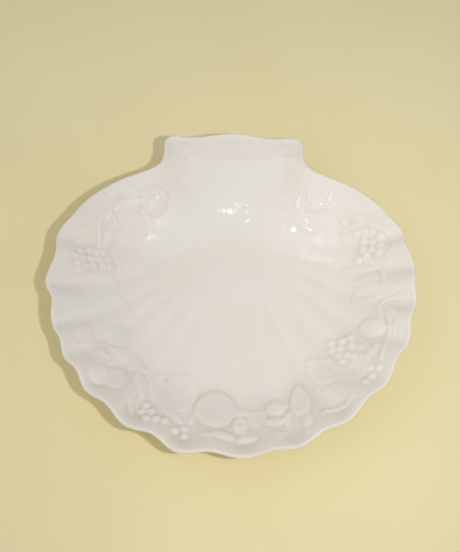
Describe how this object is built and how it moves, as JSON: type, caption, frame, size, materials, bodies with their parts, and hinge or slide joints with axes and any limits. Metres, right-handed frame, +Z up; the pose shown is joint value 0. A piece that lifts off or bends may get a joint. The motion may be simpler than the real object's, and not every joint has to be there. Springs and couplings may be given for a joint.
{
  "type": "shell shaped platter",
  "caption": "Oval glazed earthenware platter shaped like a scallop shell, fluted, with a hinge tab, a low relief of fruit on its border and a foot ring.",
  "frame": {"origin": "middle of the platter's plan bounding box, on the table plane that its foot ring stands on", "axes": "+X to the right of someone who faces the hinge tab from the fluted side, along the platter's longest side; +Y towards the hinge tab; +Z up"},
  "size_m": [0.3018, 0.2816, 0.0465],
  "materials": {
    "cream_glaze": "clear glossy glaze over a pale cream earthenware body"
  },
  "bodies": {
    "root": {"shell_platter": "cream_glaze"}
  },
  "joints": []
}
